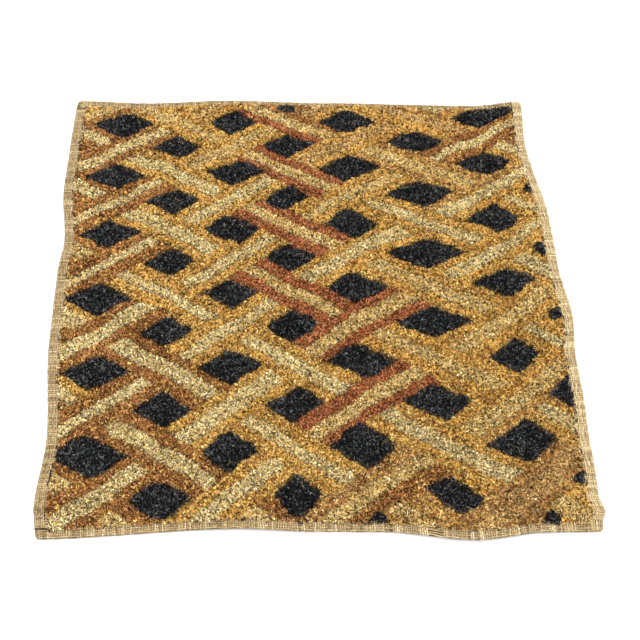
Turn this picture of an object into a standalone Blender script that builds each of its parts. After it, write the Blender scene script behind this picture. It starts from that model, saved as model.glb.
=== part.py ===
"""A square of cut-pile raffia cloth, hemmed on all four sides and laid flat with its pile up.

The cloth is one piece of plain-woven raffia whose own edges are turned under, so it is one closed
solid: a hem two layers of ground cloth thick, and inside it the field that the pile covers, which
stands higher. It was woven, sewn and trimmed by hand. So its four sides wander in plan, the whole
square leans a little, and stretches of the hem cockle up off the surface.

Metres, +Z up, X across the cloth, Y from its front edge to its back edge. The surface that the
cloth lies on is Z = 0, and the origin is under the middle of the cloth's box.
"""

from collections import namedtuple

import bpy
from mathutils import Vector, noise

NODE = "raffia_cloth"
COLLECTION = "kuba_raffia_cloth"
MM = 0.001

# Plan of the cloth
WIDTH = 0.574
DEPTH = 0.580
LEAN = 0.027  # how far the back edge is sewn to the left of the front edge
FRONT_SLANT = 0.008  # the front right corner lies this much farther back than the front left
CORNER_RADIUS = 0.006  # the rounding of each folded corner

# Thickness of the cloth, from its underside
FOLD_THICK = 0.0010  # at the outer edge, where the hem is folded
FOLD_LIFT = 0.0004  # the fold's underside curls up by this much at the very edge
FOLD_ROUND = 0.0022  # the fold is rounded over this distance
HEM_THICK = 0.0021  # two layers of ground cloth
SEAM_THICK = 0.0016  # the hem is pulled down along its stitches
SEAM_DIP = 0.003  # the dip starts this far outside the stitches
PILE_THICK = 0.0040  # ground cloth and pile
PILE_RISE = 0.0035  # the pile reaches its full height this far inside the stitches
PILE_UNEVEN = 0.0005  # how much the clipped height of the pile wanders
UNEVEN_LENGTH = 0.045  # from one thick place in the pile to the next

# The grid that the cloth is drawn on: lines at these shares of each hem, one where the pile has
# risen, then an even pitch
HEM_LINES = (0.0, 0.24, 0.5, 0.76, 1.0)
FIELD_PITCH = 0.0145
WANDER_REACH = 0.30  # a side's wander fades out over this share of the cloth
LIFT_REACH = 0.055  # a cockle in the hem fades out over this distance inwards

# How wide each side's hem is, and how high it cockles at evenly spaced stations, in mm: left to
# right on the front and the back, front to back on the left and the right. The corners and the
# field lie flat.
Side = namedtuple("Side", "hem_mm lift_mm")
SIDES = {
    "front": Side(9.5, (0, 0.5, 0.2, 1.2, 1.8, 0.4, 0.2, 1.6, 1.8, 1.2, 0)),
    "back": Side(12.5, (0, 0.6, 0.9, 0.5, 0.4, 0.2, 1.1, 0.3, 0.7, 0.4, 0)),
    "left": Side(12.5, (0, 0.8, 0.3, 1.1, 0.8, 1.4, 0.6, 1.3, 1.1, 0.7, 0)),
    "right": Side(12.5, (0, 1.8, 1, 1.9, 2.5, 1.4, 2.1, 0.9, 0.8, 0.3, 0)),
}

# Where each side turns, in mm: how far along it, and how far out it stands there from its straight
# line. The first turn is at the left or the front end.
Turn = namedtuple("Turn", "along_mm out_mm")
TURNS = {
    "front": (
        Turn(0, 0), Turn(200, -8), Turn(290, -4), Turn(345, -3), Turn(445, 7), Turn(515, 0), Turn(574, 0),
    ),
    "back": (
        Turn(0, 0), Turn(95, -5), Turn(190, 0), Turn(350, -5), Turn(510, -9), Turn(574, -1),
    ),
    "left": (
        Turn(0, -1), Turn(35, 3), Turn(105, -3), Turn(225, 5), Turn(315, 4), Turn(360, 0), Turn(435, 7),
        Turn(500, 5), Turn(580, 2),
    ),
    "right": (
        Turn(0, -1), Turn(90, 2), Turn(150, 5), Turn(195, 5), Turn(255, 11), Turn(320, 6), Turn(390, 7),
        Turn(505, -4), Turn(580, 1),
    ),
}

# The folded end of the front hem stands out past the right side near their corner
FOLD_END_OUT = 0.0045
FOLD_END_UP = 0.022  # its middle, from the front side
FOLD_END_HALF = 0.014

RAFFIA_COLOUR = (0.40, 0.235, 0.085, 1.0)
RAFFIA_ROUGHNESS = 0.92


def clear_scene():
    for obj in list(bpy.data.objects):
        bpy.data.objects.remove(obj, do_unlink=True)


def share_between(low, high, value):
    """0 below low, 1 above high, and an even climb between."""
    return min(max((value - low) / (high - low), 0.0), 1.0)


def smooth(low, high, value):
    """The same, with a soft start and end."""
    share = share_between(low, high, value)
    return share * share * (3.0 - 2.0 * share)


def along(stations, share):
    """The value at a share of the way along evenly spaced stations, on a curve through them all."""
    last = len(stations) - 1
    place = min(max(share, 0.0), 1.0) * last
    k = min(int(place), last - 1)
    f = place - k
    before, here = stations[max(k - 1, 0)], stations[k]
    there, after = stations[k + 1], stations[min(k + 2, last)]
    slope_here, slope_there = (there - before) / 2, (after - here) / 2
    bend = f * (1 - f) * ((1 - f) * slope_here - f * slope_there)
    return here + (there - here) * smooth(0, 1, f) + bend


def wander(name, share):
    """How far out a side stands, by the share of the way along it: soft steps between its turns."""
    turns = TURNS[name]
    place = share * turns[-1].along_mm
    steps = (
        (there.out_mm - here.out_mm) * smooth(here.along_mm, there.along_mm, place)
        for here, there in zip(turns, turns[1:])
    )
    return (turns[0].out_mm + sum(steps)) * MM


def corners():
    """The four corners of the leaning square: front left, front right, back left, back right."""
    half_width, half_depth, half_lean = WIDTH / 2, DEPTH / 2, LEAN / 2
    half_slant = FRONT_SLANT / 2
    return (
        Vector((-half_width + half_lean, -half_depth - half_slant)),
        Vector((half_width + half_lean, -half_depth + half_slant)),
        Vector((-half_width - half_lean, half_depth)),
        Vector((half_width - half_lean, half_depth)),
    )


def hem_width(name):
    return SIDES[name].hem_mm * MM


def side_lines(name):
    """Distances of the close grid lines from one side: over its hem, and where its pile has risen."""
    return [hem_width(name) * share for share in HEM_LINES] + [hem_width(name) + PILE_RISE]


def grid_lines(length, near, far):
    """Distances of the grid's lines from the near side, for the whole way to the far side."""
    near_lines = side_lines(near)
    far_lines = [length - line for line in reversed(side_lines(far))]
    inner = far_lines[0] - near_lines[-1]
    cells = round(inner / FIELD_PITCH)
    field = [near_lines[-1] + inner * k / cells for k in range(1, cells)]
    return near_lines + field + far_lines


def rounded(x, y):
    """Distances from the front left corner, moved so that the corner is round and not square."""
    short_x, short_y = CORNER_RADIUS - x, CORNER_RADIUS - y
    if short_x <= 0 or short_y <= 0:
        return x, y
    pull = max(short_x, short_y) / (short_x**2 + short_y**2) ** 0.5
    return CORNER_RADIUS - short_x * pull, CORNER_RADIUS - short_y * pull


def with_round_corners(x, y):
    """The same for all four corners: x and y are distances from the left and front sides."""
    flip_x, flip_y = x > WIDTH / 2, y > DEPTH / 2
    x, y = rounded(WIDTH - x if flip_x else x, DEPTH - y if flip_y else y)
    return (WIDTH - x if flip_x else x), (DEPTH - y if flip_y else y)


def faded(share):
    """1 at a side and over its hem, then down to 0 at the end of the wander's reach."""
    return 1 - smooth(hem_width("left") / WIDTH, WANDER_REACH, share)


def fold_end(y):
    """How far the front hem's end stands out past the right side, by the distance from the front."""
    return FOLD_END_OUT * (1 - smooth(0, FOLD_END_HALF, abs(y - FOLD_END_UP)))


def plan(x, y):
    """Where a point of the square cloth lies in plan, given its distances from left and front."""
    x, y = with_round_corners(x, y)
    s, t = x / WIDTH, y / DEPTH
    front_left, front_right, back_left, back_right = corners()
    point = (front_left * (1 - s) + front_right * s) * (1 - t)
    point += (back_left * (1 - s) + back_right * s) * t
    point.x -= wander("left", t) * faded(s)
    point.x += (wander("right", t) + fold_end(y)) * faded(1 - s)
    point.y -= wander("front", s) * faded(t)
    point.y += wander("back", s) * faded(1 - t)
    return point


def distances(x, y):
    """How far a point of the square cloth is from each of its sides."""
    return {"front": y, "back": DEPTH - y, "left": x, "right": WIDTH - x}


def past_fold(name):
    """Distance from one side to the first grid line inside the round of its fold."""
    return side_lines(name)[1]


def lift(x, y):
    """How high the underside stands off the surface: the cockles of the nearest hems, which leave
    the four corners down, and the round of the fold at the very edge."""
    across = share_between(past_fold("left"), WIDTH - past_fold("right"), x)
    backwards = share_between(past_fold("front"), DEPTH - past_fold("back"), y)
    shares = {"front": across, "back": across, "left": backwards, "right": backwards}
    cockle = max(
        max(along(SIDES[name].lift_mm, shares[name]), 0.0) * MM * (1 - smooth(0, LIFT_REACH, inwards))
        for name, inwards in distances(x, y).items()
    )
    return cockle + FOLD_LIFT * (1 - smooth(0, FOLD_ROUND, min(distances(x, y).values())))


def thickness(x, y):
    """The cloth's thickness by how far in a point is: the fold, the hem, its stitches, then pile."""
    from_edge = min(distances(x, y).values())
    past_seam = min(inwards - hem_width(name) for name, inwards in distances(x, y).items())
    hem = FOLD_THICK + (HEM_THICK - FOLD_THICK) * smooth(0, FOLD_ROUND, from_edge)
    stitched = hem + (SEAM_THICK - hem) * smooth(-SEAM_DIP, 0, past_seam)
    clipped = PILE_THICK + PILE_UNEVEN * noise.noise(Vector((x, y, 0)) / UNEVEN_LENGTH)
    return stitched + (clipped - stitched) * smooth(0, PILE_RISE, past_seam)


def raffia_material():
    material = bpy.data.materials.new("raffia")
    material.use_nodes = True
    shader = material.node_tree.nodes["Principled BSDF"]
    shader.inputs["Base Color"].default_value = RAFFIA_COLOUR
    shader.inputs["Roughness"].default_value = RAFFIA_ROUGHNESS
    shader.inputs["Metallic"].default_value = 0.0
    return material


def cloth_sheet():
    """The cloth's underside as an open grid, with each point's thickness kept as a weight."""
    across = grid_lines(WIDTH, "left", "right")
    backwards = grid_lines(DEPTH, "front", "back")
    columns, rows = len(across) - 1, len(backwards) - 1
    bpy.ops.mesh.primitive_grid_add(x_subdivisions=columns, y_subdivisions=rows, size=1)
    sheet = bpy.context.object
    sheet.name = sheet.data.name = NODE
    weights = sheet.vertex_groups.new(name="thickness")
    thickest = PILE_THICK + PILE_UNEVEN
    for vertex in sheet.data.vertices:
        x = across[round((vertex.co.x + 0.5) * columns)]
        y = backwards[round((vertex.co.y + 0.5) * rows)]
        place = plan(x, y)
        vertex.co = (place.x, place.y, lift(x, y))
        weights.add([vertex.index], thickness(x, y) / thickest, "REPLACE")
    return sheet


def centre_on_origin(sheet):
    """Moves the mesh so that the origin is under the middle of its box."""
    xs = [vertex.co.x for vertex in sheet.data.vertices]
    ys = [vertex.co.y for vertex in sheet.data.vertices]
    middle = Vector(((min(xs) + max(xs)) / 2, (min(ys) + max(ys)) / 2, 0))
    for vertex in sheet.data.vertices:
        vertex.co -= middle
    return middle


def thicken(sheet):
    """Gives the sheet its thickness upwards, so that its underside stays where it was drawn."""
    solid = sheet.modifiers.new("Cloth thickness", "SOLIDIFY")
    solid.thickness = PILE_THICK + PILE_UNEVEN
    solid.offset = 1.0
    solid.vertex_group = "thickness"


def main():
    clear_scene()
    collection = bpy.data.collections.new(COLLECTION)
    bpy.context.scene.collection.children.link(collection)
    sheet = cloth_sheet()
    for owner in list(sheet.users_collection):
        owner.objects.unlink(sheet)
    collection.objects.link(sheet)
    middle = centre_on_origin(sheet)
    thicken(sheet)
    sheet.data.materials.append(raffia_material())
    sheet.data.shade_smooth()
    print(f"{NODE}: plan moved by {middle.x / MM:.2f}, {middle.y / MM:.2f} mm to its box's middle")


main()
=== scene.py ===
# %% [markdown]
# Kuba raffia cloth
#
# The object is a square of plain-woven raffia, hemmed on all four sides. Short tufts of dyed
# raffia are sewn through it and clipped, so that they stand up as a pile like velvet. Bands of
# three stripes cross over and under each other, and black diamonds fill the gaps between them.
#
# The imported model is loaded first. It is the fixed frame: the cloth is at its real size there, and
# everything below is laid on it.

# %% Load the frame
import math
from collections import namedtuple

import bpy
import numpy as np
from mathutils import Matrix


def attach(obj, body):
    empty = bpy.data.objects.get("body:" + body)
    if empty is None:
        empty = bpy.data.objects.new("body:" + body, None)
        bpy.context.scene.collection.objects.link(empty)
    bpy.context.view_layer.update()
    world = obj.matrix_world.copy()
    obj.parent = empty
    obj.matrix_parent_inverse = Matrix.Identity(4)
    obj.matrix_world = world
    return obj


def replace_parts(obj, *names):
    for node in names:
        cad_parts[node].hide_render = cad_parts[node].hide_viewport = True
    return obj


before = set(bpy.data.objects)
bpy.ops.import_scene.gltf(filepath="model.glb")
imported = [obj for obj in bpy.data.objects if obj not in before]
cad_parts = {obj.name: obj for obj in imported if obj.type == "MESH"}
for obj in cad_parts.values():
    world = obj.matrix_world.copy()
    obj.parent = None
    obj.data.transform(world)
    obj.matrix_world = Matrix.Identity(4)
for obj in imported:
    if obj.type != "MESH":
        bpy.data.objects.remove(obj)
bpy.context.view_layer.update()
BODY = "root"
CLOTH = "raffia_cloth"
MM = 0.001

# %% [markdown]
# The photograph looks down on the cloth from in front, from a little to the right of its middle.
# The place, the angle and the focal length were worked out from how much narrower the back edge
# looks than the front edge.

# %% Camera
PICTURE_WIDE_PX = 640
FOCAL_PX = 966
CAMERA_PLACE = (0.0128, -0.5860, 0.9487)
CAMERA_DOWN = 59.95  # degrees below the horizon

tilt = math.radians(90 - CAMERA_DOWN)
bpy.ops.object.camera_add(location=CAMERA_PLACE, rotation=(tilt, 0, 0))
camera = bpy.context.object
camera.name = "camera"
camera.data.sensor_width = 36
camera.data.lens = camera.data.sensor_width * FOCAL_PX / PICTURE_WIDE_PX
bpy.context.scene.camera = camera
print("lens, mm:", round(camera.data.lens, 1))

# %% [markdown]
# A handmade cloth is never a true square. It leans, each side wanders in and out, and the hems
# cockle up off the surface. These are the same sizes as those of the solid, in millimetres. A side
# has its hem's width, how high the hem stands at evenly spaced stations, and the places where the
# side turns: how far along it, and how far out it stands there. They run left to right on the front
# and the back, and front to back on the left and the right.

# %% The cloth's own sizes, in millimetres
WIDTH = 574.0
DEPTH = 580.0
LEAN = 27.0
FRONT_SLANT = 8.0
CORNER_RADIUS = 6.0
FOLD_THICK = 1.0
FOLD_LIFT = 0.4
FOLD_ROUND = 2.2
HEM_THICK = 2.1
LIFT_REACH = 55.0
WANDER_REACH = 0.30
FOLD_END_OUT = 4.5
FOLD_END_UP = 22.0
FOLD_END_HALF = 14.0

Side = namedtuple("Side", "hem lift")
SIDES = {
    "front": Side(9.5, (0, 0.5, 0.2, 1.2, 1.8, 0.4, 0.2, 1.6, 1.8, 1.2, 0)),
    "back": Side(12.5, (0, 0.6, 0.9, 0.5, 0.4, 0.2, 1.1, 0.3, 0.7, 0.4, 0)),
    "left": Side(12.5, (0, 0.8, 0.3, 1.1, 0.8, 1.4, 0.6, 1.3, 1.1, 0.7, 0)),
    "right": Side(12.5, (0, 1.8, 1, 1.9, 2.5, 1.4, 2.1, 0.9, 0.8, 0.3, 0)),
}

Turn = namedtuple("Turn", "along out")
TURNS = {
    "front": (
        Turn(0, 0), Turn(200, -8), Turn(290, -4), Turn(345, -3), Turn(445, 7), Turn(515, 0),
        Turn(574, 0),
    ),
    "back": (
        Turn(0, 0), Turn(95, -5), Turn(190, 0), Turn(350, -5), Turn(510, -9), Turn(574, -1),
    ),
    "left": (
        Turn(0, -1), Turn(35, 3), Turn(105, -3), Turn(225, 5), Turn(315, 4), Turn(360, 0), Turn(435, 7),
        Turn(500, 5), Turn(580, 2),
    ),
    "right": (
        Turn(0, -1), Turn(90, 2), Turn(150, 5), Turn(195, 5), Turn(255, 11), Turn(320, 6), Turn(390, 7),
        Turn(505, -4), Turn(580, 1),
    ),
}


def share_between(low, high, value):
    """0 below low, 1 above high, and an even climb between."""
    return np.clip((value - low) / (high - low), 0.0, 1.0)


def smooth(low, high, value):
    """The same, with a soft start and end."""
    share = share_between(low, high, value)
    return share * share * (3.0 - 2.0 * share)


def along(stations, share):
    """The value at a share of the way along evenly spaced stations, on a curve through them all."""
    stations = np.array(stations, float)
    last = len(stations) - 1
    place = np.clip(share, 0.0, 1.0) * last
    k = np.minimum(place.astype(int), last - 1)
    f = place - k
    before, here = stations[np.maximum(k - 1, 0)], stations[k]
    there, after = stations[k + 1], stations[np.minimum(k + 2, last)]
    bend = f * (1 - f) * ((1 - f) * (there - before) / 2 - f * (after - here) / 2)
    return here + (there - here) * smooth(0, 1, f) + bend


def wander(name, share):
    """How far out a side stands, by the share of the way along it: soft steps between its turns."""
    turns = TURNS[name]
    place = np.clip(share, 0.0, 1.0) * turns[-1].along
    steps = [(there.out - here.out) * smooth(here.along, there.along, place)
             for here, there in zip(turns, turns[1:])]
    return turns[0].out + sum(steps)


def rounded(x, y):
    """Distances from a corner, moved so that the corner is round and not square."""
    short_x, short_y = CORNER_RADIUS - x, CORNER_RADIUS - y
    near = (short_x > 0) & (short_y > 0)
    reach = np.where(near, np.hypot(short_x, short_y), 1.0)
    pull = np.maximum(short_x, short_y) / reach
    return (
        np.where(near, CORNER_RADIUS - short_x * pull, x),
        np.where(near, CORNER_RADIUS - short_y * pull, y),
    )


def plan(x, y):
    """Where points of the square cloth lie in plan, given their distances from left and front."""
    flip_x, flip_y = x > WIDTH / 2, y > DEPTH / 2
    x, y = rounded(np.where(flip_x, WIDTH - x, x), np.where(flip_y, DEPTH - y, y))
    x, y = np.where(flip_x, WIDTH - x, x), np.where(flip_y, DEPTH - y, y)
    s, t = x / WIDTH, y / DEPTH
    place_x = (s - 0.5) * WIDTH + (0.5 - t) * LEAN
    place_y = (t - 0.5) * DEPTH + (s - 0.5) * FRONT_SLANT * (1 - t)
    fade = {name: 1 - smooth(SIDES["left"].hem / WIDTH, WANDER_REACH, share)
            for name, share in (("left", s), ("right", 1 - s), ("front", t), ("back", 1 - t))}
    fold_end = FOLD_END_OUT * (1 - smooth(0, FOLD_END_HALF, np.abs(y - FOLD_END_UP)))
    place_x -= wander("left", t) * fade["left"]
    place_x += (wander("right", t) + fold_end) * fade["right"]
    place_y -= wander("front", s) * fade["front"]
    place_y += wander("back", s) * fade["back"]
    return place_x, place_y


def distances(x, y):
    """How far points of the square cloth are from each of its sides."""
    return {"front": y, "back": DEPTH - y, "left": x, "right": WIDTH - x}


def from_edge_of_cloth(x, y):
    return np.minimum.reduce(list(distances(x, y).values()))


def lift(x, y):
    """How high the underside stands off the surface."""
    flat_corner = 3.0
    across = share_between(flat_corner, WIDTH - flat_corner, x)
    backwards = share_between(flat_corner, DEPTH - flat_corner, y)
    shares = {"front": across, "back": across, "left": backwards, "right": backwards}
    found = np.zeros(np.shape(x))
    for name, inwards in distances(x, y).items():
        cockle = np.maximum(along(SIDES[name].lift, shares[name]), 0.0)
        found = np.maximum(found, cockle * (1 - smooth(0, LIFT_REACH, inwards)))
    return found + FOLD_LIFT * (1 - smooth(0, FOLD_ROUND, from_edge_of_cloth(x, y)))


rim = np.linspace(0, 1, 400)
rim_x = np.concatenate([rim * WIDTH, rim * WIDTH, rim * 0, rim * 0 + WIDTH])
rim_y = np.concatenate([rim * 0, rim * 0 + DEPTH, rim * DEPTH, rim * DEPTH])
rim_x, rim_y = plan(rim_x, rim_y)
MIDDLE_X = (rim_x.min() + rim_x.max()) / 2
MIDDLE_Y = (rim_y.min() + rim_y.max()) / 2
print("outline, mm:", round(float(np.ptp(rim_x)), 1), "by", round(float(np.ptp(rim_y)), 1))


def placed(x, y, height):
    """Points of the cloth in the frame, in millimetres, at a height over its underside."""
    place_x, place_y = plan(x, y)
    return np.stack([place_x - MIDDLE_X, place_y - MIDDLE_Y, lift(x, y) + height], axis=-1)


# %% [markdown]
# Nothing that is made by hand repeats exactly. A ripple is a smooth, uneven number over the cloth,
# made by adding waves that run in different directions. It moves the edges of the pattern and
# makes patches of the pile lighter, darker or taller. Every draw is seeded, so the cloth is the
# same each time.

# %% Unevenness
WAVES = 9


def ripple(x, y, length, seed):
    """An uneven number of about unit size that changes over about this many millimetres."""
    found = 0
    for angle, size, start in np.random.default_rng(seed).random((WAVES, 3)):
        turn = 2 * math.pi * angle
        reach = length * (0.7 + 0.9 * size)
        wave_at = (x * math.cos(turn) + y * math.sin(turn)) / reach + start
        found = found + np.sin(2 * math.pi * wave_at)
    return found * math.sqrt(2 / WAVES)


# %% [markdown]
# The pattern is a lattice of bands. One set runs up to the right and the other down to the right,
# and they cross in eight columns, lettered A to H, with one more column, Z, just off the left
# side. In columns A, C, E and G the band that runs up to the right lies on top, and in the others
# the other band does. Each band has a pale stripe between two borders, and the embroiderer changed
# the yarn from one crossing to the next. So a column has a letter for each crossing, from the back
# to the front, for its stripe and for its far and near borders.
#
# The letters are yarns: p pale, s straw, t tan, g gold, o ochre, r russet, d a dull mix and m a
# brown mix.

# %% The pattern's chart
BACK_ROW = 290.0  # where row 0 lies
ROW_PITCH = 38.5
ROW_GROWTH = 0.55  # the rows grow towards the front
BAND_HALF = 0.51  # half a band's width, where bands lie 2 apart
STRIPE_HALF = 0.2
UNIT = 36.0  # millimetres across a band for each 1 of lattice distance
DIAMOND_DEEP = 0.43  # half a diamond's depth, in rows

Column = namedtuple("Column", "back front rise front_rise bow bulge wide first stripe far near")
COLUMNS = {
    "Z": Column(-308, -300, -4, -4, -5, -3.0, 0.1, 1, "ppsppss", "oooggoo", "ooogooo"),
    "A": Column(-238, -227, -4, -6, -6, -3.0, 78, 0, "spppppp", "goooooo", "ooooooo"),
    "B": Column(-167, -148, 0, -3, -3, -1.0, 67, 1, "sppppps", "ggggooo", "ggggooo"),
    "C": Column(-99, -77, 0, 0, -2, 0.5, 70, 0, "tsppppp", "ggggggg", "ggggggg"),
    "D": Column(-31, -9, 1, 1, 0, 3.5, 67, 1, "sssspps", "orrrggo", "rrrrggg"),
    "E": Column(46, 69, 6, 5, -5, 4.0, 69, 0, "ttspsss", "ogggrrm", "ggggrro"),
    "F": Column(131, 155, 6, 0, -3, 5.5, 74, 1, "tspssps", "ddggggd", "gdggggd"),
    "G": Column(217, 240, 13, 8, 1, 4.5, 68, 0, "ppppsst", "oodgggm", "gogggdm"),
    "H": Column(284, 304, 18, 16, 0, 4.0, 62, 1, "pppppps", "ooggggg", "ggggggg"),
}
FIRST_COLUMN = -1
ROWS_BETWEEN = 2
COLUMN_PITCH = 76.0

# The few diamonds that stand out from the rest of their column: shares of its width and depth, how
# far they were moved, and how far their sides lean
Own = namedtuple("Own", "wide deep right front lean", defaults=(1, 1, 0, 0, 0))
DIAMONDS = {
    "A1": Own(deep=1.2),
    "A5": Own(wide=1.1, deep=1.1),
    "A7": Own(wide=1.1, deep=1.1, right=-4),
    "B0": Own(wide=0.5, deep=0.5),
    "B4": Own(wide=1.2),
    "C1": Own(wide=0.8, deep=1.2),
    "C3": Own(wide=1.2, right=4),
    "C5": Own(wide=1.1, deep=1.2),
    "C9": Own(wide=1.2),
    "D4": Own(wide=0.9, right=-4),
    "D12": Own(wide=0.7),
    "E1": Own(deep=1.1, front=5),
    "E3": Own(wide=1.1, deep=1.2),
    "E5": Own(wide=0.8, deep=1.2),
    "E11": Own(deep=1.3, right=-5),
    "F6": Own(wide=1.2, deep=1.1),
    "F10": Own(right=-4),
    "F12": Own(wide=0.8, deep=0.9, lean=0.3),
    "G1": Own(right=3, front=4),
    "G7": Own(wide=1.3, deep=1.1, right=3),
    "G11": Own(right=-4),
    "H2": Own(wide=0.7, deep=0.7),
    "H10": Own(wide=1.4, deep=1.3),
}
NOT_SEWN = ("D0", "E13", "G13", "H6", "H8", "H12")

# Small black patches at the cloth's edges, where a whole diamond had no room: two at the back, of
# which one runs into diamond G1, three at the right and two at the front
Patch = namedtuple("Patch", "column row half_wide half_deep")
PATCHES = (
    Patch(6.4, 0.85, 0.25, 0.25),
    Patch(3.0, 0.45, 0.15, 0.2),
    Patch(6.75, 6.1, 0.15, 0.2),
    Patch(6.8, 8.0, 0.18, 0.18),
    Patch(6.75, 11.9, 0.15, 0.12),
    Patch(4.05, 12.65, 0.15, 0.25),
    Patch(6.15, 12.7, 0.15, 0.25),
)


def lattice_place(x, y):
    """How many columns right of A, and how many rows in front of the back row, points lie."""
    share = (BACK_ROW - y) / DEPTH
    bow = np.sin(np.pi * np.clip(share, 0.0, 1.0))
    lines = [c.back + (c.front - c.back) * share + c.bow * bow for c in COLUMNS.values()]
    rises = [c.rise + (c.front_rise - c.rise) * share**2 + c.bulge * bow for c in COLUMNS.values()]
    column, rise = np.zeros(np.shape(x)), np.zeros(np.shape(x))
    for k in range(len(lines) - 1):
        part = (x - lines[k]) / (lines[k + 1] - lines[k])
        right = (part >= 0) | (k == 0)
        column = np.where(right, k + part, column)
        rise = np.where(right, rises[k] + (rises[k + 1] - rises[k]) * part, rise)
    from_back = BACK_ROW - (y - rise)
    root = np.sqrt(np.maximum(ROW_PITCH**2 + 4 * ROW_GROWTH * from_back, 1.0))
    return column + FIRST_COLUMN, (root - ROW_PITCH) / (2 * ROW_GROWTH)


chart_rows = [[ord(letter) for letter in c.stripe + c.far + c.near] for c in COLUMNS.values()]
crossings = np.array(chart_rows).reshape(len(COLUMNS), 3, -1)
first_rows = np.array([c.first for c in COLUMNS.values()])
column_widths = np.array([c.wide for c in COLUMNS.values()], float)
print("crossings in the chart:", crossings.shape[0] * crossings.shape[2])


def column_index(column):
    """Where columns stand in the chart. What lies beyond its ends takes the last one there."""
    return np.clip(column - FIRST_COLUMN, 0, len(COLUMNS) - 1).astype(int)


def chart_letter(column, row, which):
    """The yarn letter of crossings. which is 0 for the stripe, 1 for the far border, 2 the near."""
    k = column_index(column)
    n =np.clip((row - first_rows[k]) // ROWS_BETWEEN, 0, crossings.shape[2] - 1).astype(int)
    return crossings[k, which, n]


# %% [markdown]
# A point's place in the lattice says what is sewn there. In a crossing the band on top wins, and
# between crossings a band belongs to the nearest crossing where it is on top. The diamonds are
# drawn last: each is a little rounder than a rhombus, with its tips pulled out. The pattern is
# read in small steps, because each stitch passes between threads of the ground, and that gives
# the colours their toothed edges.

# %% What is sewn at each point
STITCH_STEP = (2.7, 2.4)
WANDER = 0.9
SMALL_WANDER = 0.6
STRIPE_OFF = 0.018  # how far a stripe lies off its band's middle
STRIPE_UNEVEN = 0.11
SIZE_UNEVEN = 0.05
WIDE_UNEVEN = 0.06
SKEW = 0.10
DIAMOND_ROUND = 1.22
ROUND_UNEVEN = 0.12
PLACES = 24  # more than the lattice has, each way
UNEVEN_SIZES = np.random.default_rng(7).normal(0, 1, (PLACES, PLACES, 4))


def odd(value):
    return 2 * np.floor(value / 2) + 1


def even(value):
    return 2 * np.round(value / 2)


def draw_for(column, row, which):
    """A fixed random number for each crossing or diamond."""
    return UNEVEN_SIZES[column.astype(int) % PLACES, row.astype(int) % PLACES, which]


def place_of(name):
    """The lattice place of a named diamond, as indices of a table with all the places."""
    return (list(COLUMNS).index(name[0]) + FIRST_COLUMN) % PLACES, int(name[1:])


own_shapes = np.tile(np.array(Own(), float), (PLACES, PLACES, 1))
for name, own in DIAMONDS.items():
    own_shapes[place_of(name)] = own
for name in NOT_SEWN:
    own_shapes[place_of(name)] = Own(0.05, 0.05)


def stitch_place(x, y):
    """Points moved to the middle of their stitch, and then by the pattern's unevenness."""
    step_x, step_y = STITCH_STEP
    x = (np.floor(x / step_x) + 0.5) * step_x
    y = (np.floor(y / step_y) + 0.5) * step_y
    x = x + WANDER * ripple(x, y, 60, 1) + SMALL_WANDER * ripple(x, y, 15, 2)
    return x, y + WANDER * ripple(x, y, 60, 3) + SMALL_WANDER * ripple(x, y, 15, 4)


def bands_at(p, q):
    """The bands' yarn letter, and how far in from the edge of its colour, from the place across
    the bands that run up to the right and the place across the others."""
    p_band, q_band = even(p), even(q)
    dp, dq = p - p_band, q - q_band
    rising_over = ((p_band - q_band) / 2) % 2 == 0
    both = (np.abs(dp) < BAND_HALF) & (np.abs(dq) < BAND_HALF)
    rising = np.where(both, rising_over, np.abs(dp) < np.abs(dq))
    under = rising != rising_over
    q_own = q_band + np.where(rising & under, 2 * np.sign(dq), 0)
    p_own = p_band + np.where(~rising & under, 2 * np.sign(dp), 0)
    column, row = (p_own - q_own) / 2, (p_own + q_own) / 2
    across = np.where(rising, dp, dq)
    length = np.abs(np.where(rising, q - q_own, p - p_own))
    to_end = 2 - BAND_HALF - length
    off_middle = np.abs(across - STRIPE_OFF * draw_for(column, row, 1))
    half = STRIPE_HALF * (1 + STRIPE_UNEVEN * draw_for(column, row, 2))
    in_stripe = (off_middle < half) & (to_end > 0)
    stripe, far, near = (chart_letter(column, row, which) for which in range(3))
    letter = np.where(in_stripe, stripe, np.where(across > 0, near, far))
    in_border = np.minimum(off_middle - half, np.abs(BAND_HALF - np.abs(across)))
    from_edge = np.where(in_stripe, half - off_middle, in_border)
    return letter, np.minimum(from_edge, np.maximum(to_end, 0.0)) * UNIT


def diamond_spread(c, r):
    """How far out from the middle of a diamond or patch lattice places are: 1 at its outline."""
    p_gap, q_gap = odd(r + c), odd(r - c)
    column, row = (p_gap - q_gap) / 2, (p_gap + q_gap) / 2
    own = Own(*np.moveaxis(own_shapes[column.astype(int) % PLACES, row.astype(int) % PLACES], -1, 0))
    right = c - column - own.right / COLUMN_PITCH
    forwards = r - row - own.front / ROW_PITCH - own.lean * right
    size = 1 + SIZE_UNEVEN * draw_for(column, row, 0)
    half_wide = column_widths[column_index(column)] / 2 / COLUMN_PITCH * size * own.wide
    half_wide = half_wide * (1 + WIDE_UNEVEN * draw_for(column, row, 3))
    half_deep = DIAMOND_DEEP * size * own.deep
    right = right + SKEW * forwards * draw_for(column, row, 1)
    roundness = DIAMOND_ROUND + ROUND_UNEVEN * draw_for(column, row, 2)
    spread = (np.abs(right) / half_wide) ** roundness + np.abs(forwards) / half_deep
    for patch in PATCHES:
        off = np.hypot((c - patch.column) / patch.half_wide, (r - patch.row) / patch.half_deep)
        spread = np.minimum(spread, off)
    return spread


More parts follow.
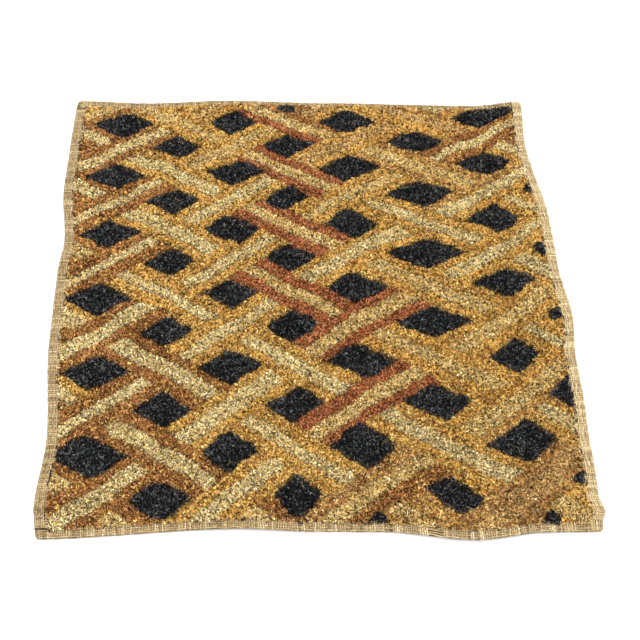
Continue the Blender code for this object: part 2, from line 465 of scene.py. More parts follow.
def sewn(x, y):
    """The yarn letter at points, and how far in from the edge of its own colour each one is, mm."""
    c, r = lattice_place(*stitch_place(x, y))
    letter, from_edge = bands_at(r + c, r - c)
    spread = diamond_spread(c, r)
    black = spread < 1
    inside = np.abs(1 - spread) * DIAMOND_DEEP * ROW_PITCH
    from_edge = np.where(black, inside, np.minimum(from_edge, inside))
    return np.where(black, ord("k"), letter), from_edge


# %% [markdown]
# Each yarn is dyed raffia, and a dyed bundle is uneven: some fibres took more dye, some have faded
# and the cut ends are paler. So a yarn has three colours, from its darkest to its palest, as red,
# green and blue out of 255. The darkest is partly its darkest fibre and partly painted shade: the
# tufts sunk deep between others and those in the grooves take it.

# %% The yarns
Yarn = namedtuple("Yarn", "name dark body pale")
# The first colour of each yarn is partly painted shade, for tufts deep in the pile.
YARNS = {
    "p": Yarn("pale", (52, 36, 18), (246, 222, 158), (254, 244, 204)),
    "s": Yarn("straw", (46, 30, 14), (238, 202, 126), (252, 234, 176)),
    "t": Yarn("tan", (44, 28, 14), (222, 180, 112), (250, 222, 162)),
    "g": Yarn("gold", (40, 24, 10), (238, 186, 90), (254, 232, 156)),
    "o": Yarn("ochre", (32, 18, 8), (180, 122, 62), (236, 186, 122)),
    "r": Yarn("russet", (34, 18, 10), (188, 112, 64), (236, 172, 120)),
    "k": Yarn("black", (4, 4, 5), (35, 36, 39), (134, 134, 134)),
}
MIXES = {"d": "gtgo", "m": "ottog"}
STRAYS = {"p": "s", "s": "p", "t": "s", "g": "o", "o": "g", "r": "o"}
STRAY_SHARE = 0.13


def linear(colour):
    """A colour out of 255 as the amounts of light that a shader takes."""
    share = np.array(colour, float) / 255
    return np.where(share <= 0.04045, share / 12.92, ((share + 0.055) / 1.055) ** 2.4)


def yarn_of(letters, chance, stray):
    """Gives each stitch one yarn, by a number from 0 to 1, and puts stray stitches among them."""
    found = letters.copy()
    for mix, yarns in MIXES.items():
        chosen = np.array([ord(yarn) for yarn in yarns])[(chance * len(yarns)).astype(int)]
        found = np.where(letters == ord(mix), chosen, found)
    for own, other in STRAYS.items():
        found = np.where((letters == ord(own)) & stray, ord(other), found)
    return found


print("yarns:", ", ".join(yarn.name for yarn in YARNS.values()))

# %% [markdown]
# Thousands of tufts need thousands of colours, and one material for each yarn has to hold them. So
# each tuft is given its own narrow strip of the UV square. Its place across says how pale the tuft
# is, and its height runs from the root to the cut tip. The material only looks the colour up
# there: it blends the yarn's three colours across, and darkens them towards the root, where little
# light reaches between the tufts.
#
# Pile and threads share this, so it is a node group with named inputs. Small helpers come first,
# for nodes, groups and materials.

# %% A shared look-up of fibre colour
LOOK_UP = "OFBake"
STREAK_SCALE = 90.0
LIT_FROM = 0.85  # the share of a tuft's height from which it has its full colour


def add_node(tree, kind, given=None, **settings):
    """A new shader node. A given input takes a value, or a link if that is a node's output."""
    node = tree.nodes.new("ShaderNode" + kind)
    for name, setting in settings.items():
        setattr(node, name, setting)
    for socket, value in (given or {}).items():
        if isinstance(value, bpy.types.NodeSocket):
            tree.links.new(value, node.inputs[socket])
        else:
            node.inputs[socket].default_value = value
    return node


def maths(tree, operation, *values):
    return add_node(tree, "Math", dict(enumerate(values)), operation=operation).outputs[0]


def scaled(tree, vector, scale):
    given = {0: vector, "Scale": scale}
    return add_node(tree, "VectorMath", given, operation="SCALE").outputs["Vector"]


def mixed(tree, share, first, second, blend="MIX"):
    given = {0: share, 6: first, 7: second}  # the node's sockets for colours
    return add_node(tree, "Mix", given, data_type="RGBA", blend_type=blend).outputs[2]


def new_group(name, inputs, outputs):
    """A node group, what it is given and what it results in. Each socket's name has its kind."""
    group = bpy.data.node_groups.new(name, "ShaderNodeTree")
    for in_out, sockets in (("INPUT", inputs), ("OUTPUT", outputs)):
        for socket, kind in sockets.items():
            group.interface.new_socket(socket, in_out=in_out, socket_type="NodeSocket" + kind)
    given, result = (group.nodes.new("NodeGroup" + end) for end in ("Input", "Output"))
    return group, given.outputs, result.inputs


def new_material(name, rough, shine):
    """A material, its node tree and its shader's inputs."""
    material = bpy.data.materials.new(name)
    material.use_nodes = True
    shader = material.node_tree.nodes["Principled BSDF"].inputs
    shader["Roughness"].default_value = rough
    shader["Specular IOR Level"].default_value = shine
    return material, material.node_tree, shader


def paint(colour):
    """A colour out of 255 as a socket takes it."""
    return (*linear(colour), 1.0)


def fibre_group():
    group, given, result = new_group(
        "fibre_colour",
        {"Dark": "Color", "Body": "Color", "Pale": "Color", "Root shade": "Float", "Streak": "Float"},
        {"Colour": "Color"})
    strip = add_node(group, "UVMap", uv_map=LOOK_UP).outputs["UV"]
    place = add_node(group, "SeparateXYZ", {"Vector": strip}).outputs
    noise = add_node(group, "TexNoise", {"Vector": strip, "Scale": STREAK_SCALE, "Detail": 1.0})
    streak = maths(group, "SUBTRACT", noise.outputs["Fac"], 0.5)
    paleness = maths(group, "MULTIPLY_ADD", streak, given["Streak"], place["X"])
    lower = add_node(group, "MapRange", {"Value": paleness, "From Max": 0.5})
    upper = add_node(group, "MapRange", {"Value": paleness, "From Min": 0.5})
    body = mixed(group, lower.outputs["Result"], given["Dark"], given["Body"])
    fibre = mixed(group, upper.outputs["Result"], body, given["Pale"])
    light = add_node(
        group, "MapRange", {"Value": place["Y"], "From Max": LIT_FROM, "To Min": given["Root shade"]},
        interpolation_type="SMOOTHSTEP")
    group.links.new(scaled(group, fibre, light.outputs["Result"]), result["Colour"])
    return group


fibre_colour = fibre_group()


def fibre_material(name, yarn, root_shade, streak, rough=0.86):
    material, tree, shader = new_material(name, rough, shine=0.25)
    colours = {"Dark": paint(yarn.dark), "Body": paint(yarn.body), "Pale": paint(yarn.pale)}
    given = {**colours, "Root shade": root_shade, "Streak": streak}
    fibre = add_node(tree, "Group", given, node_tree=fibre_colour)
    tree.links.new(fibre.outputs["Colour"], shader["Base Color"])
    return material


print("group inputs:", [s.name for s in fibre_colour.interface.items_tree if s.in_out == "INPUT"])

# %% [markdown]
# Everything is deselected before a new piece is modelled, because the loaded solid is still
# selected and an operator acts on all that is. A thing that repeats, such as a tuft, is modelled
# once, and its copies are joined into one mesh, each with its own place, turn and size.
# Each finished piece rides on the cloth and takes its material slot.


def keep(piece):
    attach(piece, BODY)
    return piece


def start_fresh():
    if bpy.context.object and bpy.context.object.mode != "OBJECT":
        bpy.ops.object.mode_set(mode="OBJECT")
    bpy.ops.object.select_all(action="DESELECT")


def model_arrays(obj):
    """The points and faces of a piece in edit mode, its faces turned outwards. It is removed, since
    only its copies are wanted."""
    bpy.ops.mesh.select_all(action="SELECT")
    bpy.ops.mesh.normals_make_consistent(inside=False)
    bpy.ops.object.mode_set(mode="OBJECT")
    mesh = obj.data
    points = np.array([vertex.co[:] for vertex in mesh.vertices])
    faces = [tuple(face.vertices) for face in mesh.polygons]
    bpy.data.objects.remove(obj, do_unlink=True)
    return points, faces


def joined_copies(name, points, faces, strips, material, flat_shaded):
    """A kept piece of many copies. points and strips have a row for each: places in mm, and UVs."""
    copies, each = points.shape[:2]
    corners = np.concatenate([np.array(face) for face in faces])
    sides = np.array([len(face) for face in faces])
    all_corners = (np.arange(copies)[:, None] * each + corners).ravel().astype(np.int32)
    starts = np.concatenate([[0], np.cumsum(np.tile(sides, copies))[:-1]]).astype(np.int32)
    mesh = bpy.data.meshes.new(name)
    mesh.vertices.add(copies * each)
    mesh.vertices.foreach_set("co", (points * MM).astype(np.float32).ravel())
    mesh.loops.add(len(all_corners))
    mesh.loops.foreach_set("vertex_index", all_corners)
    mesh.polygons.add(len(starts))
    mesh.polygons.foreach_set("loop_start", starts)
    mesh.update(calc_edges=True)
    mesh.uv_layers.new(name=LOOK_UP)
    corner_uvs = strips.reshape(-1, 2)[all_corners]
    mesh.uv_layers[LOOK_UP].data.foreach_set("uv", corner_uvs.astype(np.float32).ravel())
    mesh.polygons.foreach_set("use_smooth", np.full(len(starts), not flat_shaded))
    mesh.materials.append(material)
    mesh.validate()
    piece = bpy.data.objects.new(name, mesh)
    bpy.context.scene.collection.objects.link(piece)
    keep(piece)
    triangles = int((sides - 2).sum()) * copies
    print(f"{name}: {copies} copies, {triangles} triangles")


# %% [markdown]
# The ground cloth is one plain-woven sheet. It starts as a flat grid with closer lines over the
# hems, is moved point by point to the cloth's uneven plan, and Solidify gives it thickness
# upwards, thin at the folded edge. Where pile is sewn its top is the imported roots of the tufts,
# which show as dark gaps between them, so each point keeps the yarn colour that the roots have
# there, darkened as painted shade for those gaps.

# %% The ground cloth's sheet
FIELD_PITCH = 6.0
HEM_SHARES = (0.0, 0.06, 0.16, 0.3, 0.5, 0.7, 0.86, 1.0)
PILE_RISE = 3.5
HEM_BED = 1.15  # the sheet under the hem's threads
EDGE_BED = 0.55
ROOT_BED = 1.9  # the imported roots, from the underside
# the roots' yarn colour is darkened to this share: painted shade for the gaps between tufts
ROOT_PAINTED_SHADE = 0.30
# the raffia colour under the hem's threads, darkened as painted shade
HEM_GAP_PAINTED_SHADE = (88, 66, 38)


def hem_lines(side):
    """Distances of the grid's lines from a side, as far in as the pile's full thickness."""
    return [SIDES[side].hem * share for share in HEM_SHARES] + [SIDES[side].hem + PILE_RISE]


def grid_lines(length, near, far):
    """Distances of the grid's lines from the near side, closer together over the hems."""
    near_lines = hem_lines(near)
    far_lines = [length - line for line in reversed(hem_lines(far))]
    inner = far_lines[0] - near_lines[-1]
    cells = round(inner / FIELD_PITCH)
    field = [near_lines[-1] + inner * k / cells for k in range(1, cells)]
    return np.array(near_lines + field + far_lines)


def past_seam(x, y):
    """How far points are inside the stitching of the nearest hem. Less than 0 is on a hem."""
    return np.minimum.reduce([inwards - SIDES[name].hem for name, inwards in distances(x, y).items()])


def bed_height(x, y):
    hem = EDGE_BED + (HEM_BED - EDGE_BED) * smooth(0, FOLD_ROUND, from_edge_of_cloth(x, y))
    return hem + (ROOT_BED - hem) * smooth(0, PILE_RISE, past_seam(x, y))


def ground_sheet():
    lines_x = grid_lines(WIDTH, "left", "right")
    lines_y = grid_lines(DEPTH, "front", "back")
    start_fresh()
    bpy.ops.mesh.primitive_grid_add(
        x_subdivisions=len(lines_x) - 1, y_subdivisions=len(lines_y) - 1, size=1)
    sheet = bpy.context.object
    sheet.name = sheet.data.name = "ground_cloth"
    flat = np.array([vertex.co[:2] for vertex in sheet.data.vertices])
    x = lines_x[np.round((flat[:, 0] + 0.5) * (len(lines_x) - 1)).astype(int)]
    y = lines_y[np.round((flat[:, 1] + 0.5) * (len(lines_y) - 1)).astype(int)]
    sheet.data.vertices.foreach_set("co", (placed(x, y, 0.0) * MM).astype(np.float32).ravel())
    weights = sheet.vertex_groups.new(name="thickness")
    for index, height in enumerate(bed_height(x, y)):
        weights.add([index], float(height / ROOT_BED), "REPLACE")
    solid = sheet.modifiers.new("Cloth thickness", "SOLIDIFY")
    solid.thickness = ROOT_BED * MM
    solid.offset = 1.0
    solid.vertex_group = "thickness"
    bpy.ops.object.modifier_apply(modifier=solid.name)
    sheet.vertex_groups.clear()
    return sheet, x, y


ground, ground_x, ground_y = ground_sheet()
print("ground cloth:", len(ground.data.vertices), "points")

# %% [markdown]
# The sheet's colour is stored on its points: the roots' yarn colours in the field, darkened as
# painted shade, and under the hem's threads a raffia colour darkened as painted shade. A mask says
# where the underside is, which shows plain weave: two sets of fine waves that cross, one for each
# set of threads, with painted shade in their hollows.

# %% The ground cloth's colours and weave
WEAVE_PITCH = 2.4
WEAVE_DEEP = 0.6
FIBRE_SCALE = 900.0
ONE_CHANCE = 0.3  # takes the second yarn of a mix, which is tan in both
weave_yarn = Yarn("ground", (80, 62, 38), (162, 138, 98), (222, 204, 162))


def ground_colours(sheet, x, y):
    """Stores each point's colour on the sheet, with painted shade in it, and a mask that is 1 on the
    underside.
    """
    letters, _ = sewn(*plan(x, y))
    letters = yarn_of(letters, np.full(len(x), ONE_CHANCE), np.zeros(len(x), bool))
    shaded_roots = np.zeros((len(x), 3))
    for letter, yarn in YARNS.items():
        # painted shade: the roots are darkened where they show between the tufts
        shaded_roots = np.where((letters == ord(letter))[:, None], linear(yarn.body) * ROOT_PAINTED_SHADE, shaded_roots)
    in_field = smooth(-0.5, 1.5, past_seam(x, y))[:, None]
    colours = np.ones((2 * len(x), 4))  # Solidify made a second layer of the same points
    # under the hems the sheet takes the painted shade of the raffia
    colours[:, :3] = np.tile(shaded_roots * in_field + linear(HEM_GAP_PAINTED_SHADE) * (1 - in_field), (2, 1))
    layers = np.array([vertex.co.z for vertex in sheet.data.vertices]).reshape(2, -1).mean(axis=1)
    underside = np.repeat(layers == layers.min(), len(x))
    stored = sheet.data.color_attributes.new("shaded_root_colour", "FLOAT_COLOR", "POINT")
    stored.data.foreach_set("color", colours.astype(np.float32).ravel())
    mask = sheet.data.attributes.new("underside", "FLOAT", "POINT")
    mask.data.foreach_set("value", underside.astype(np.float32))


def weave_group():
    group, given, result = new_group(
        "plain_weave", {"Pitch": "Float"}, {"Height": "Float", "Fibre": "Float"})
    place = add_node(group, "TexCoord").outputs["Object"]
    threads = scaled(group, place, maths(group, "DIVIDE", math.pi, given["Pitch"]))
    parts = add_node(group, "SeparateXYZ", {"Vector": threads}).outputs
    waves = [maths(group, "SINE", parts[axis]) for axis in ("X", "Y")]
    height = maths(group, "ABSOLUTE", maths(group, "MULTIPLY", *waves))
    fibre = add_node(group, "TexNoise", {"Vector": place, "Scale": FIBRE_SCALE, "Detail": 3.0})
    group.links.new(height, result["Height"])
    group.links.new(fibre.outputs["Fac"], result["Fibre"])
    return group


def ground_material():
    material, tree, shader = new_material("woven_ground", rough=0.9, shine=0.2)
    weave = add_node(tree, "Group", {"Pitch": WEAVE_PITCH * MM}, node_tree=weave_group())
    height, fibre = weave.outputs["Height"], weave.outputs["Fibre"]
    # The weave's hollows take the darker colour: painted shade.
    threads = mixed(tree, height, paint(weave_yarn.dark), paint(weave_yarn.body))
    streaked = mixed(tree, 0.6, threads, fibre, blend="SOFT_LIGHT")
    shaded_roots = add_node(tree, "Attribute", attribute_name="shaded_root_colour").outputs["Color"]
    mask = add_node(tree, "Attribute", attribute_name="underside").outputs["Fac"]
    bump = add_node(tree, "Bump", {"Distance": WEAVE_DEEP * MM, "Strength": 0.8, "Height": height})
    tree.links.new(mixed(tree, mask, shaded_roots, streaked), shader["Base Color"])
    tree.links.new(bump.outputs["Normal"], shader["Normal"])
    return material


ground_colours(ground, ground_x, ground_y)
ground.data.materials.append(ground_material())
ground.data.shade_smooth()
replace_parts(keep(ground), CLOTH)
print("ground cloth stands for", CLOTH)

# %% [markdown]
# A tuft is a bundle of split leaf, drawn together where it passes through the ground and cut off
# flat. Seen close it is a small chisel: narrow and deep at the root, and a short line of fibre
# ends at the tip. Four faces are enough for that. It starts as a cone with three sides, one corner
# of its base is lifted to the top, and the two raised points become the cut edge.

# %% One tuft
TUFT_TIP_HALF = 1.2
TUFT_ROOT_HALF = 0.55
TUFT_TALL = 2.7


def tuft_model():
    start_fresh()
    bpy.ops.mesh.primitive_cone_add(vertices=3, radius1=1.0, radius2=0.0, depth=1.0)
    tuft = bpy.context.object
    points = sorted(tuft.data.vertices, key=lambda vertex: (vertex.co.z, vertex.co.y))
    left, right = sorted(points[:2], key=lambda vertex: vertex.co.x)
    lifted, apex = points[2], points[3]
    left.co = (-TUFT_ROOT_HALF, 0, 0)
    right.co = (TUFT_ROOT_HALF, 0, 0)
    lifted.co = (0, TUFT_TIP_HALF, TUFT_TALL)
    apex.co = (0, -TUFT_TIP_HALF, TUFT_TALL)
    bpy.ops.object.mode_set(mode="EDIT")
    return model_arrays(tuft)


tuft_points, tuft_faces = tuft_model()
print("tuft:", len(tuft_points), "points,", len(tuft_faces), "faces")

# %% [markdown]
# The tufts are sown in close rows, each a little off its place. Those that were sewn with one
# stitch make a bunch: they share a lean and a turn, and nearly a colour. Most bunches lean a
# little and a few right over, as cut pile does once it has been brushed and trodden. The clipped
# height is greatest along the middle of each colour and dips at its edges, which gives the grooves
# between stripes. The pile does not end in a ruled line: it is sewn a little way over the hem, and
# furthest over the back one.

# %% Sow the pile
SPACING = 1.4
ROW_SHARE = 0.866
ROOT_HEIGHT = 1.25
SCATTER = 0.3
LEAST_HEIGHT = 0.5
BUNCHES = 256  # bunches before the random numbers repeat, each way
GROOVE, GROOVE_REACH = 1.3, 1.4
CROWN, CROWN_REACH = 0.35, 5.0
TALL_RIPPLE, TALL_BUNCH, TALL_SCATTER = 0.16, 0.22, 0.16
BLACK_LOWER = 0.15
LEAN_USUAL, LEAN_FLAT, LEAN_SCATTER, LEAN_MOST = 20.0, 56.0, 7.0, 66.0
FLAT_SHARE = 0.08
UPRIGHT, UPRIGHT_REACH = 0.45, 3.0  # tufts lean less near an edge, so that colours do not smear

# How pale a tuft is, from 0 to 1: its usual value and what makes it stray from that. The darkening in
# the grooves is painted shade.
PALE_USUAL, PALE_SCATTER, PALE_BUNCH, PALE_RIPPLE = 0.64, 0.28, 0.04, 0.04
GROOVE_PAINTED_SHADE, BLACK_DARKER = 0.25, 0.17
SHADED_SHARE = 0.2  # tufts so deep between others that they stay dark
SHADED_CONTRAST, SHADED_DARKER = 0.5, 0.2
FADED_SHARE, FADED_PALENESS = 0.03, 0.9  # the few faded tufts in the diamonds
STRIP_WIDE = 0.006

# How far in from the folded edge the pile starts, left to right or front to back
PILE_STARTS = {
    "front": (9.0, 8.6, 8.2, 9.0, 8.6, 8.0, 9.2, 8.4, 8.0),
    "back": (12.0, 10.5, 9.0, 7.0, 6.8, 6.5, 6.5, 7.0, 9.0),
    "left": (12.2, 12.6, 12.0, 12.4, 12.0, 11.6, 12.4, 12.8, 12.4),
    "right": (12.6, 12.2, 11.8, 12.4, 12.8, 12.2, 11.6, 12.2, 12.6),
}

draw = np.random.default_rng(11)


def in_pile(x, y):
    """Whether places of the square cloth are inside the pile's uneven edge."""
    shares = {"front": x / WIDTH, "back": x / WIDTH, "left": y / DEPTH, "right": y / DEPTH}
    ragged = 0.35 * ripple(x, y, 9, 24)
    inside = np.ones(np.shape(x), bool)
    for name, inwards in distances(x, y).items():
        inside &= inwards > along(PILE_STARTS[name], shares[name]) + ragged
    return inside


def sown_places():
    """Places of the tufts on the square cloth, in jittered rows."""
    rows = np.arange(0, DEPTH, SPACING * ROW_SHARE)
    across = np.arange(0, WIDTH, SPACING)
    x, y = np.meshgrid(across, rows)
    x = x + (np.arange(len(rows)) % 2)[:, None] * SPACING / 2
    x = (x + draw.normal(0, SCATTER, x.shape)).ravel()
    y = (y + draw.normal(0, SCATTER, y.shape)).ravel()
    inside = in_pile(x, y)
    return x[inside], y[inside]


tuft_x, tuft_y = sown_places()
plan_x, plan_y = plan(tuft_x, tuft_y)
tuft_letters, tuft_inside = sewn(plan_x, plan_y)
tufts = len(tuft_x)
bunch = tuple(np.floor(place / step).astype(int) % BUNCHES
              for place, step in zip((plan_x, plan_y), STITCH_STEP))


def bunch_draw(normal):
    """A random number that all the tufts of one stitch share."""
    table = draw.normal(0, 1, (BUNCHES, BUNCHES)) if normal else draw.random((BUNCHES, BUNCHES))
    return table[bunch]


def rotated(a, b, angle):
    """Two coordinates of the copies' points, turned in their plane by an angle for each copy."""
    cos, sin = np.cos(angle)[:, None], np.sin(angle)[:, None]
    return a * cos - b * sin, a * sin + b * cos


def leaned(points, turn, lean, towards, wide, tall):
    """Copies of the tuft's points, scaled, turned about their own axis and leaned over."""
    x, y, z = np.moveaxis(points * np.stack([wide, wide, tall], axis=-1)[:, None, :], -1, 0)
    x, y = rotated(x, y, turn)
    outwards, sideways = rotated(x, y, -towards)
    outwards, height = rotated(outwards, z, -lean)
    x, y = rotated(outwards, sideways, towards)
    return np.stack([x, y, height], axis=-1)


streaky = 0.08 * ripple(plan_x, plan_y, 28, 25)
is_stray = bunch_draw(normal=False) < STRAY_SHARE + streaky
tuft_letters = yarn_of(tuft_letters, bunch_draw(normal=False), is_stray)
is_black = tuft_letters == ord("k")
in_groove = 1 - smooth(0, GROOVE_REACH, tuft_inside)

trimmed = CROWN * smooth(0, CROWN_REACH, tuft_inside) - GROOVE * in_groove
trimmed = trimmed + TALL_RIPPLE * ripple(plan_x, plan_y, 45, 21) - BLACK_LOWER * is_black
trimmed = trimmed + TALL_BUNCH * bunch_draw(normal=True) + draw.normal(0, TALL_SCATTER, tufts)
tall_share = 1 + trimmed / TUFT_TALL
wide_share = np.clip(draw.normal(1.0, 0.2, tufts), 0.55, 1.6)

lean = np.abs(LEAN_USUAL * bunch_draw(normal=True))
lean = np.where(bunch_draw(normal=False) < FLAT_SHARE, LEAN_FLAT, lean)
upright = UPRIGHT + (1 - UPRIGHT) * smooth(0, UPRIGHT_REACH, tuft_inside)
lean = np.radians(np.clip(lean + draw.normal(0, LEAN_SCATTER, tufts), 0, LEAN_MOST)) * upright
lean_towards = 2 * math.pi * bunch_draw(normal=False) + draw.normal(0, 0.5, tufts)
turned = 2 * math.pi * bunch_draw(normal=False) + draw.normal(0, 0.6, tufts)
tuft_shapes = leaned(tuft_points, turned, lean, lean_towards, wide_share, tall_share)
tuft_shapes += placed(tuft_x, tuft_y, ROOT_HEIGHT)[:, None, :]
tuft_shapes[:, :, 2] = np.maximum(tuft_shapes[:, :, 2], LEAST_HEIGHT)

paleness = PALE_USUAL + PALE_SCATTER * draw.normal(0, 1, tufts) + PALE_BUNCH * bunch_draw(normal=True)
paleness = paleness + PALE_RIPPLE * ripple(plan_x, plan_y, 70, 23)
in_shade = draw.random(tufts) < SHADED_SHARE
paleness = np.where(in_shade, SHADED_CONTRAST * paleness - SHADED_DARKER, paleness)
# tufts in the grooves between colours are darkened: painted shade
paleness = paleness - GROOVE_PAINTED_SHADE * in_groove - BLACK_DARKER * is_black
faded = is_black & (draw.random(tufts) < FADED_SHARE)
paleness = np.clip(np.where(faded, FADED_PALENESS, paleness), 0.01, 0.985)
print("tufts sown:", tufts, "of them black:", int(is_black.sum()))

# %% [markdown]
# Each yarn becomes a piece of its own, with its own material.

# %% The pile, yarn by yarn
tuft_across = np.where(tuft_points[:, 0] + tuft_points[:, 1] > 0, 1.0, 0.0)
tuft_up = np.where(tuft_points[:, 2] > TUFT_TALL / 2, 0.98, 0.02)
for letter, yarn in YARNS.items():
    chosen = np.flatnonzero(tuft_letters == ord(letter))
    strips = np.empty((len(chosen), len(tuft_points), 2))
    strips[:, :, 0] = paleness[chosen][:, None] + STRIP_WIDE * tuft_across
    strips[:, :, 1] = tuft_up
    material = fibre_material(f"{yarn.name}_yarn", yarn, root_shade=0.14, streak=0.0)
    joined_copies(
        f"pile_{yarn.name}", tuft_shapes[chosen], tuft_faces, strips, material, flat_shaded=True)

# %% [markdown]
# The hem shows the bare weave. Here each thread is real: a flat ribbon of raffia that goes over
# and under the threads it crosses. One thread is modelled as a four-sided rod, with enough rings
# along it to bend, and every copy is then bent along its own route.

# %% One thread
def thread_model(rings):
    start_fresh()
    bpy.ops.mesh.primitive_cylinder_add(
        vertices=4, radius=1.0, depth=1.0, end_fill_type="NGON", rotation=(0, math.pi / 2, 0))
    thread = bpy.context.object
    bpy.ops.object.transform_apply(location=False, rotation=True, scale=False)
    bpy.ops.object.mode_set(mode="EDIT")
    bpy.ops.mesh.select_mode(type="EDGE")
    bpy.ops.mesh.select_all(action="DESELECT")
    bpy.ops.object.mode_set(mode="OBJECT")
    for edge in thread.data.edges:
        a, b = (thread.data.vertices[index].co for index in edge.vertices)
        edge.select = abs(a.x - b.x) > 0.5
    bpy.ops.object.mode_set(mode="EDIT")
    bpy.ops.mesh.subdivide(number_cuts=rings - 2)
    return model_arrays(thread)


def unit(vectors):
    return vectors / np.maximum(np.linalg.norm(vectors, axis=2, keepdims=True), 1e-9)


def laid_threads(name, routes, half_wide, half_thick, shades, material):
    """A kept piece with a thread bent along each route: an array of copies, rings and x, y, z in
    mm. The half sizes and the shades are one number for all threads, or one for each."""
    copies, rings = routes.shape[:2]
    points, faces = thread_model(rings)
    ring = np.round((points[:, 0] + 0.5) * (rings - 1)).astype(int)
    turned_by = np.arctan2(points[:, 2], points[:, 1])
    forwards = unit(np.gradient(routes, axis=1))
    sideways = unit(np.cross((0.0, 0.0, 1.0), forwards))
    up = np.cross(forwards, sideways)
    half_wide, half_thick, shades = (
        np.broadcast_to(each, copies)[:, None] for each in (half_wide, half_thick, shades))
    out_side = (np.cos(turned_by) * half_wide)[:, :, None]
    out_up = (np.sin(turned_by) * half_thick)[:, :, None]
    shapes = routes[:, ring] + sideways[:, ring] * out_side + up[:, ring] * out_up
    strips = np.empty((copies, len(points), 2))
    around = (turned_by / (2 * math.pi)) % 1.0
    strips[:, :, 0] = shades + STRIP_WIDE * 2 * around
    strips[:, :, 1] = 0.01 + 0.98 * ring / (rings - 1)
    joined_copies(name, shapes, faces, strips, material, flat_shaded=False)


# %% [markdown]
# Round the hem the threads of one set cross from the pile to the folded edge, wrap round it and
# end underneath, and those of the other set run along the edge. At each corner one hem is folded
# over its neighbour: the front one on top at both front corners, the back one at the back left,
# and the right one at the back right. Its neighbour's threads stop just short, which bares the
# sheet's painted shade there as a dark fold line.

# %% The hem's threads
CROSS_PITCH = 2.3
ALONG_PITCH = 2.2
RISE_AND_FALL = 0.3
THREAD_TOP = 0.42  # a thread's middle lies this far under the hem's top
CORNER_GAP = 0.9
UNDER_PILE = 1.4
FRAY_FROM, FRAY_TO = 396.0, 411.0  # a worn stretch of the front hem, from its left end
FRAY_FADE = 3.0
CROSS_SCATTER, CROSS_RIPPLE = 0.2, 0.28
ALONG_RIPPLE, WORN_RIPPLE, WORN_RISE = 0.25, 0.5, 0.1
WRAP = ((-0.12, 0.72), (0.3, 0.38), (1.6, 0.36))  # round the fold: how far in, how high

Strip = namedtuple("Strip", "side start end paleness")
# The right hem is paler than the others as painted light, for the lamp on its side.
HEM_STRIPS = (
    Strip("front", 0.6, WIDTH - 0.6, 0.45),
    Strip("back", 0.6, WIDTH - SIDES["right"].hem - CORNER_GAP, 0.42),
    Strip("left", SIDES["front"].hem + CORNER_GAP, DEPTH - SIDES["back"].hem - CORNER_GAP, 0.45),
    Strip("right", SIDES["front"].hem + CORNER_GAP, DEPTH - 0.6, 0.58),
)


def hem_place(side, run, inwards, height):
    """Points in the frame, by how far along a hem they are and how far in from its edge."""
    if side in ("front", "back"):
        x, y = run, (inwards if side == "front" else DEPTH - inwards)
    else:
        x, y = (inwards if side == "left" else WIDTH - inwards), run
    return placed(x, y, height)


def hem_top(inwards):
    return FOLD_THICK + (HEM_THICK - FOLD_THICK) * smooth(0, FOLD_ROUND, inwards)


def along_count(side):
    return round(SIDES[side].hem / ALONG_PITCH)


def cross_routes(strip):
    """Threads from under the pile, over and under those along the hem, and round its fold."""
    count = round((strip.end - strip.start) / CROSS_PITCH)
    runs = strip.start + (np.arange(count) + 0.5) * (strip.end - strip.start) / count
    hem, others = SIDES[strip.side].hem, along_count(strip.side)
    steps = np.arange(2 * others) / (2 * others)
    inwards = np.concatenate([[hem + UNDER_PILE], hem * (1 - steps), [0.35]])
    thread_of = (1 - inwards / hem) * others
    wave = np.cos(math.pi * (thread_of - 0.5 + np.arange(count)[:, None] % 2))
    scatter = draw.normal(0, CROSS_SCATTER, count)[:, None]
    jitter = scatter + CROSS_RIPPLE * ripple(runs[:, None], inwards[None, :], 12, 31)
    height = hem_top(inwards) - THREAD_TOP + RISE_AND_FALL * wave
    grid_run = runs[:, None] + jitter
    grid_in = np.repeat(inwards[None, :], count, axis=0)
    top = hem_place(strip.side, grid_run, grid_in, height)
    one = np.ones((count, 1))
    fold = [hem_place(strip.side, grid_run[:, :1], one * away, one * high) for away, high in WRAP]
    frayed = (strip.side == "front") & (runs >= FRAY_FROM) & (runs <= FRAY_TO)
    return np.concatenate([top, *fold], axis=1)[~frayed]


def along_routes(strip):
    """Threads that run along the hem, high where the crossing ones are low."""
    count = round((strip.end - strip.start) / CROSS_PITCH)
    rings = 2 * count + 1
    place = np.arange(rings) / 2
    runs = strip.start + place * (strip.end - strip.start) / count
    hem, others = SIDES[strip.side].hem, along_count(strip.side)
    routes = []
    for k in range(others):
        inwards = hem * (1 - (k + 0.5) / others)
        inwards = inwards + ALONG_RIPPLE * ripple(runs, runs * 0 + k * 40, 14, 33)
        wave = np.cos(math.pi * (place - 0.5 + k + 1))
        height = hem_top(inwards) - THREAD_TOP + RISE_AND_FALL * wave
        if strip.side == "front":
            worn = smooth(FRAY_FROM - FRAY_FADE, FRAY_FROM, runs)
            worn = worn * (1 - smooth(FRAY_TO, FRAY_TO + FRAY_FADE, runs))
            inwards = inwards + worn * WORN_RIPPLE * ripple(runs, runs * 0 + k * 90, 16, 34)
            height = height + worn * (WORN_RISE - RISE_AND_FALL * wave)
        routes.append(hem_place(strip.side, runs, inwards, height))
    return np.array(routes)


